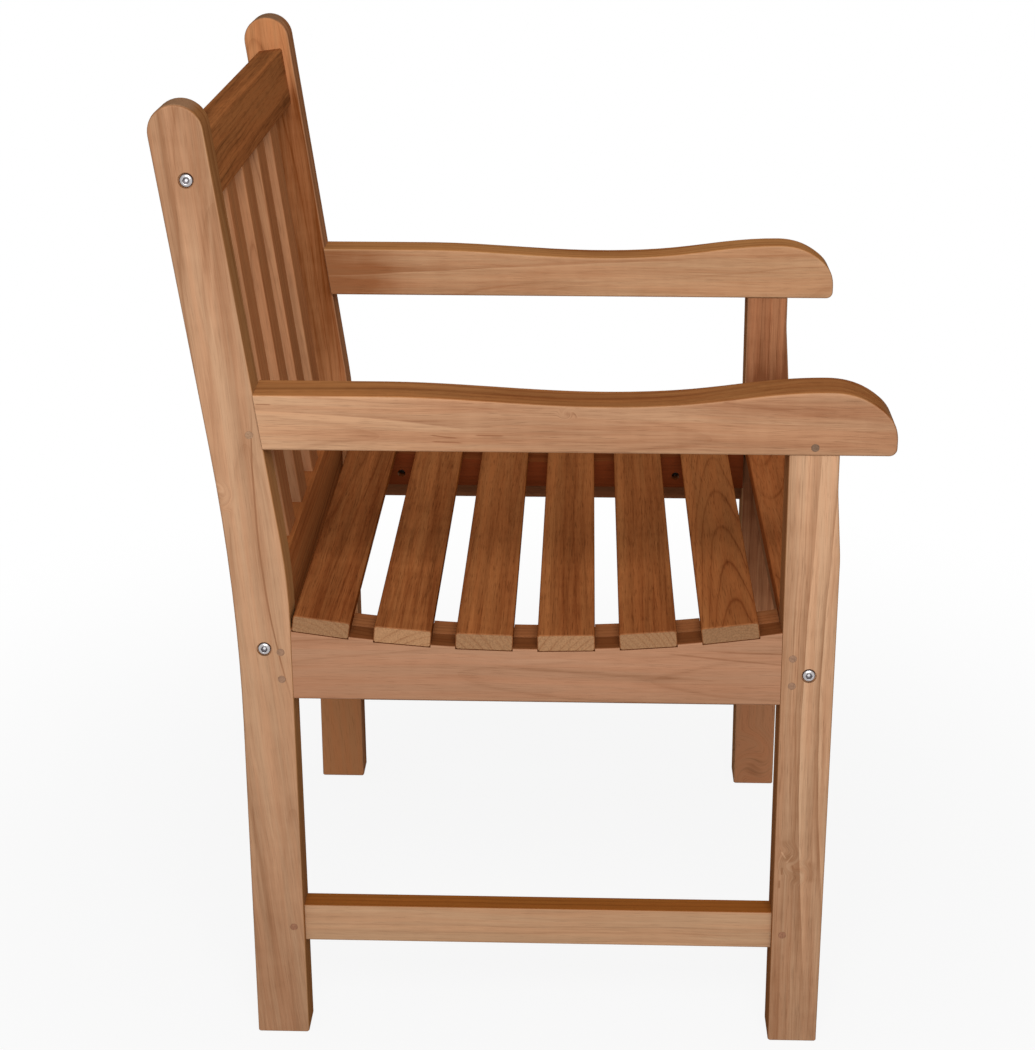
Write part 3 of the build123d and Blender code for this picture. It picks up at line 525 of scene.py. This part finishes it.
bolt_mesh.set_sharp_from_angle(angle=radians(50))
# The socket walls are painted dark for grime and painted shade in the recess, and the drill point near
# white as a painted reflection
for name, colour, roughness in (
    ("bolt_steel", (0.54, 0.515, 0.52), 0.2),
    ("socket_grime_and_shade_steel", (0.16, 0.145, 0.155), 0.4),
    ("drill_point_reflection_steel", (0.95, 0.93, 0.95), 0.3),
):
    bolt_mesh.materials.append(steel(name, colour, roughness, grain=900.0))
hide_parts("frame_bolts")
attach(domed_bolts, "root")

# Hidden steel: barrel nuts lie across the rails and take the frame bolts. Wood screws hold the
# battens to the rails and go up from below into the seat slats.
# Their steel is painted dark brown, as painted shade in the holes they sit in
for node in ("barrel_nuts", "batten_screws", "seat_slat_screws", "front_slat_screws"):
    nodes[node].data.materials.clear()
    nodes[node].data.materials.append(steel(f"{node}_steel", (0.16, 0.13, 0.11), 0.45, grain=600.0))

# Floor: a plain white studio floor under the chair. It keeps the chair's soft shadow and is
# seen as bright as the room behind it.
WHITE = (1.0, 1.0, 1.0, 1.0)
floor_reach = 30.0
floor_grey = (0.55, 0.55, 0.55, 1.0)
shadow_from = 0.3
shadow_to = 1.3
shadow_veil = 0.9
floor_mesh = bmesh.new()
bmesh.ops.create_grid(floor_mesh, x_segments=1, y_segments=1, size=floor_reach)
floor_data = bpy.data.meshes.new("floor")
floor_mesh.to_mesh(floor_data)
floor_mesh.free()
floor = bpy.data.objects.new("floor", floor_data)
bpy.context.scene.collection.objects.link(floor)
floor_paint = bpy.data.materials.new("floor_paint")
floor_paint.use_nodes = True
tree = floor_paint.node_tree
paint = tree.nodes["Principled BSDF"]
paint.inputs["Base Color"].default_value = floor_grey
paint.inputs["Roughness"].default_value = 0.9
paint.inputs["Specular IOR Level"].default_value = 0.0


def seen_directly(tree):
    """One for rays that come from the camera, or by way of metal and glass."""
    path = wire(tree, "ShaderNodeLightPath")
    seen = sums(tree, "ADD", path["Is Camera Ray"], path["Is Glossy Ray"])
    return sums(tree, "ADD", seen, path["Is Transmission Ray"])


glow = wire(tree, "ShaderNodeEmission", WHITE, 1.0)[0]
away = length_of(tree, wire(tree, "ShaderNodeTexCoord")["Object"])
share = between(tree, away, shadow_from, shadow_to, start=shadow_veil, end=1.0)
share = sums(tree, "MULTIPLY", seen_directly(tree), share)
veil = wire(tree, "ShaderNodeMixShader", share, paint.outputs[0], glow)[0]
tree.links.new(veil, tree.nodes["Material Output"].inputs["Surface"])
floor_data.materials.append(floor_paint)

# Light: one large soft box stands on the camera's side, above the arm. The pale room fills the
# shadows evenly from all round.
scene = bpy.context.scene
scene.view_settings.view_transform = "Standard"
room = bpy.data.worlds.new("room")
room.use_nodes = True
scene.world = room
tree = room.node_tree
room_fill = 0.4
strength = between(tree, seen_directly(tree), 0.0, 1.0, start=room_fill, end=1.0)
tree.links.new(strength, tree.nodes["Background"].inputs["Strength"])
tree.nodes["Background"].inputs["Color"].default_value = WHITE
key_spot = Vector((-2.0, -0.1, 1.75))
key_target = Vector((0, 0, 0.65))
key_light = bpy.data.lights.new("key", "AREA")
key_light.shape = "RECTANGLE"
key_light.size = 1.4
key_light.size_y = 1.1
key_light.energy = 42
key = bpy.data.objects.new("key", key_light)
scene.collection.objects.link(key)
key.location = key_spot
key.rotation_euler = (key_target - key_spot).to_track_quat("-Z", "Y").to_euler()

# Camera: it looks at the sitter's right side from a little above the arm, square to the chair
# but for a small turn, as the photograph was taken.
eye = Vector((-2.0653, -0.0465, 1.2062))
pitch = radians(20.785)
yaw = radians(1.837)
lens_pixels = 2150
frame_pixels = 1050
camera_data = bpy.data.cameras.new("camera")
camera_data.sensor_width = 36.0
camera_data.lens = camera_data.sensor_width * lens_pixels / frame_pixels
camera = bpy.data.objects.new("camera", camera_data)
scene.collection.objects.link(camera)
camera.location = eye
camera.rotation_euler = (radians(90) - pitch, 0, yaw - radians(90))
scene.camera = camera
